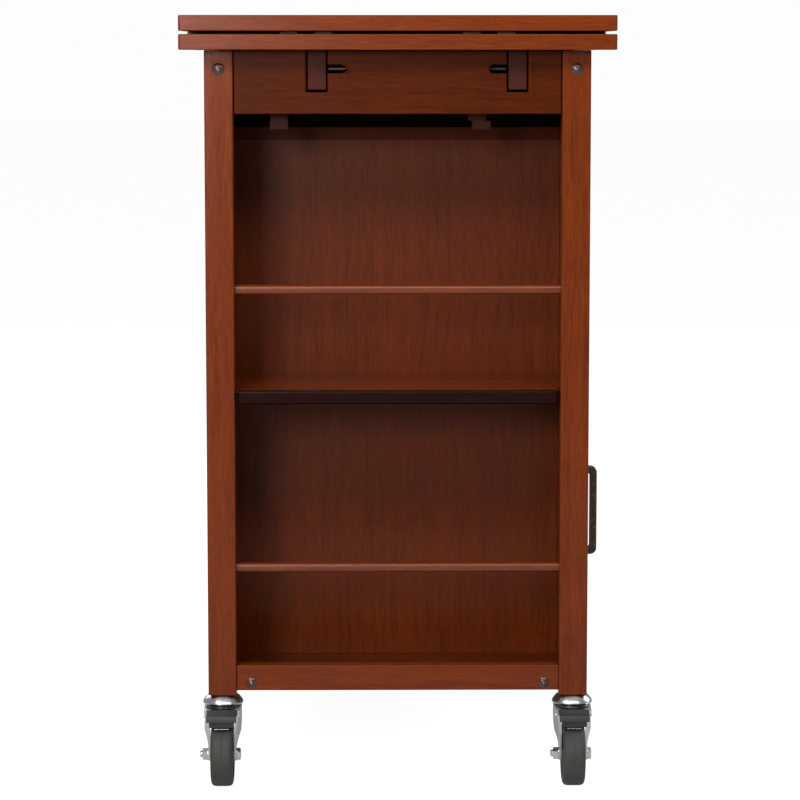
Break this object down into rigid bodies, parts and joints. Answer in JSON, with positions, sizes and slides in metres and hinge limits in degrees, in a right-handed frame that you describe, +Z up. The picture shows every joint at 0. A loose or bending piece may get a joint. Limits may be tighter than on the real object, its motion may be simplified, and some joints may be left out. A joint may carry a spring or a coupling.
{
  "type": "kitchen cart",
  "caption": "Wheeled kitchen cart: worktop with two pull-out leaves, open shelf end with guard rails, cupboard with door, niche and drawer, on braked swivel casters.",
  "frame": {"origin": "on the floor, under the middle of the worktop", "axes": "+Z up; +X towards the front, with the door and the drawer; -Y towards the open shelf end, +Y towards the closed end"},
  "size_m": [0.5, 0.731, 0.9],
  "materials": {
    "top_wood": "reddish-brown stained wood, semi-gloss lacquer, grain along the length",
    "frame_wood": "reddish-brown stained wood, semi-gloss lacquer",
    "apron_wood": "reddish-brown stained veneer, semi-gloss lacquer",
    "inner_wood": "dark stained board, satin",
    "runner_wood": "dark stained hardwood, satin, bare end grain",
    "glide_felt": "grey-brown pressed felt",
    "bronze_metal": "dark bronze, satin",
    "bolt_steel": "plain steel",
    "zinc_steel": "bright zinc-plated pressed steel",
    "tyre_rubber": "dark grey rubber",
    "pedal_plastic": "black plastic",
    "catch_plastic": "dark brown plastic"
  },
  "bodies": {
    "cart": {"main_top": "top_wood", "centre_strip": "top_wood", "leaf_glides": "glide_felt", "leg_left_front": "frame_wood", "leg_left_back": "frame_wood", "leg_right_front": "frame_wood", "leg_right_back": "frame_wood", "apron_left": "apron_wood", "apron_right": "apron_wood", "apron_front": "apron_wood", "apron_back": "apron_wood", "centre_bearer": "inner_wood", "rail_left": "frame_wood", "rail_right": "frame_wood", "rail_front": "frame_wood", "rail_back": "frame_wood", "bottom_board": "inner_wood", "bay_shelf": "frame_wood", "guard_rails": "frame_wood", "partition": "inner_wood", "runner_deck": "inner_wood", "cupboard_boards": "inner_wood", "panel_back": "apron_wood", "panel_right": "apron_wood", "panel_bay": "apron_wood", "door_jamb": "frame_wood", "glue_blocks": "runner_wood", "frame_bolts": "bronze_metal", "caster_stems": "zinc_steel", "hinge_leaves_fixed": "bronze_metal", "door_catch": "catch_plastic", "drawer_runners": "runner_wood"},
    "left_leaf": {"leaf_left": "top_wood", "leaf_left_runners": "runner_wood"},
    "right_leaf": {"leaf_right": "top_wood", "leaf_right_runners": "runner_wood"},
    "left_inner_bolt": {"lock_bolt_left_inner": "bolt_steel"},
    "left_outer_bolt": {"lock_bolt_left_outer": "bolt_steel"},
    "right_inner_bolt": {"lock_bolt_right_inner": "bolt_steel"},
    "right_outer_bolt": {"lock_bolt_right_outer": "bolt_steel"},
    "drawer": {"drawer_front": "frame_wood", "drawer_box": "inner_wood", "drawer_bottom": "inner_wood", "drawer_pull": "bronze_metal"},
    "door": {"door_frame": "frame_wood", "door_panel": "apron_wood", "door_pull": "bronze_metal", "door_hinge_leaves": "bronze_metal"},
    "fork_left_front": {"caster_fork_left_front": "zinc_steel"},
    "wheel_left_front": {"caster_wheel_left_front": "tyre_rubber"},
    "pedal_left_front": {"caster_pedal_left_front": "pedal_plastic"},
    "fork_left_back": {"caster_fork_left_back": "zinc_steel"},
    "wheel_left_back": {"caster_wheel_left_back": "tyre_rubber"},
    "pedal_left_back": {"caster_pedal_left_back": "pedal_plastic"},
    "fork_right_front": {"caster_fork_right_front": "zinc_steel"},
    "wheel_right_front": {"caster_wheel_right_front": "tyre_rubber"},
    "pedal_right_front": {"caster_pedal_right_front": "pedal_plastic"},
    "fork_right_back": {"caster_fork_right_back": "zinc_steel"},
    "wheel_right_back": {"caster_wheel_right_back": "tyre_rubber"},
    "pedal_right_back": {"caster_pedal_right_back": "pedal_plastic"}
  },
  "joints": [
    {"name": "left_leaf_draw", "type": "slide", "parent": "cart", "child": "left_leaf", "axis": [0, -1, 0], "range_m": [0, 0.25]},
    {"name": "right_leaf_draw", "type": "slide", "parent": "cart", "child": "right_leaf", "axis": [0, 1, 0], "range_m": [0, 0.25]},
    {"name": "left_inner_bolt_slide", "type": "slide", "parent": "cart", "child": "left_inner_bolt", "axis": [-1, 0, 0], "range_m": [0, 0.008]},
    {"name": "left_outer_bolt_slide", "type": "slide", "parent": "cart", "child": "left_outer_bolt", "axis": [1, 0, 0], "range_m": [0, 0.008]},
    {"name": "right_inner_bolt_slide", "type": "slide", "parent": "cart", "child": "right_inner_bolt", "axis": [1, 0, 0], "range_m": [0, 0.008]},
    {"name": "right_outer_bolt_slide", "type": "slide", "parent": "cart", "child": "right_outer_bolt", "axis": [-1, 0, 0], "range_m": [0, 0.008]},
    {"name": "drawer_slide", "type": "slide", "parent": "cart", "child": "drawer", "axis": [1, 0, 0], "range_m": [0, 0.3]},
    {"name": "door_hinge", "type": "hinge", "parent": "cart", "child": "door", "pos_m": [0.2258, 0.2883, 0.291], "axis": [0, 0, 1], "range_deg": [0, 110]},
    {"name": "swivel_left_front", "type": "hinge", "parent": "cart", "child": "fork_left_front", "pos_m": [0.206, -0.306, 0.088], "axis": [0, 0, 1], "continuous": true},
    {"name": "roll_left_front", "type": "hinge", "parent": "fork_left_front", "child": "wheel_left_front", "pos_m": [0.206, -0.328, 0.0375], "axis": [1, 0, 0], "continuous": true},
    {"name": "brake_left_front", "type": "hinge", "parent": "fork_left_front", "child": "pedal_left_front", "pos_m": [0.206, -0.334, 0.085], "axis": [1, 0, 0], "range_deg": [0, 11]},
    {"name": "swivel_left_back", "type": "hinge", "parent": "cart", "child": "fork_left_back", "pos_m": [-0.206, -0.306, 0.088], "axis": [0, 0, 1], "continuous": true},
    {"name": "roll_left_back", "type": "hinge", "parent": "fork_left_back", "child": "wheel_left_back", "pos_m": [-0.206, -0.328, 0.0375], "axis": [1, 0, 0], "continuous": true},
    {"name": "brake_left_back", "type": "hinge", "parent": "fork_left_back", "child": "pedal_left_back", "pos_m": [-0.206, -0.334, 0.085], "axis": [1, 0, 0], "range_deg": [0, 11]},
    {"name": "swivel_right_front", "type": "hinge", "parent": "cart", "child": "fork_right_front", "pos_m": [0.206, 0.306, 0.088], "axis": [0, 0, 1], "continuous": true},
    {"name": "roll_right_front", "type": "hinge", "parent": "fork_right_front", "child": "wheel_right_front", "pos_m": [0.206, 0.328, 0.0375], "axis": [1, 0, 0], "continuous": true},
    {"name": "brake_right_front", "type": "hinge", "parent": "fork_right_front", "child": "pedal_right_front", "pos_m": [0.206, 0.334, 0.085], "axis": [-1, 0, 0], "range_deg": [0, 11]},
    {"name": "swivel_right_back", "type": "hinge", "parent": "cart", "child": "fork_right_back", "pos_m": [-0.206, 0.306, 0.088], "axis": [0, 0, 1], "continuous": true},
    {"name": "roll_right_back", "type": "hinge", "parent": "fork_right_back", "child": "wheel_right_back", "pos_m": [-0.206, 0.328, 0.0375], "axis": [1, 0, 0], "continuous": true},
    {"name": "brake_right_back", "type": "hinge", "parent": "fork_right_back", "child": "pedal_right_back", "pos_m": [-0.206, 0.334, 0.085], "axis": [-1, 0, 0], "range_deg": [0, 11]}
  ]
}
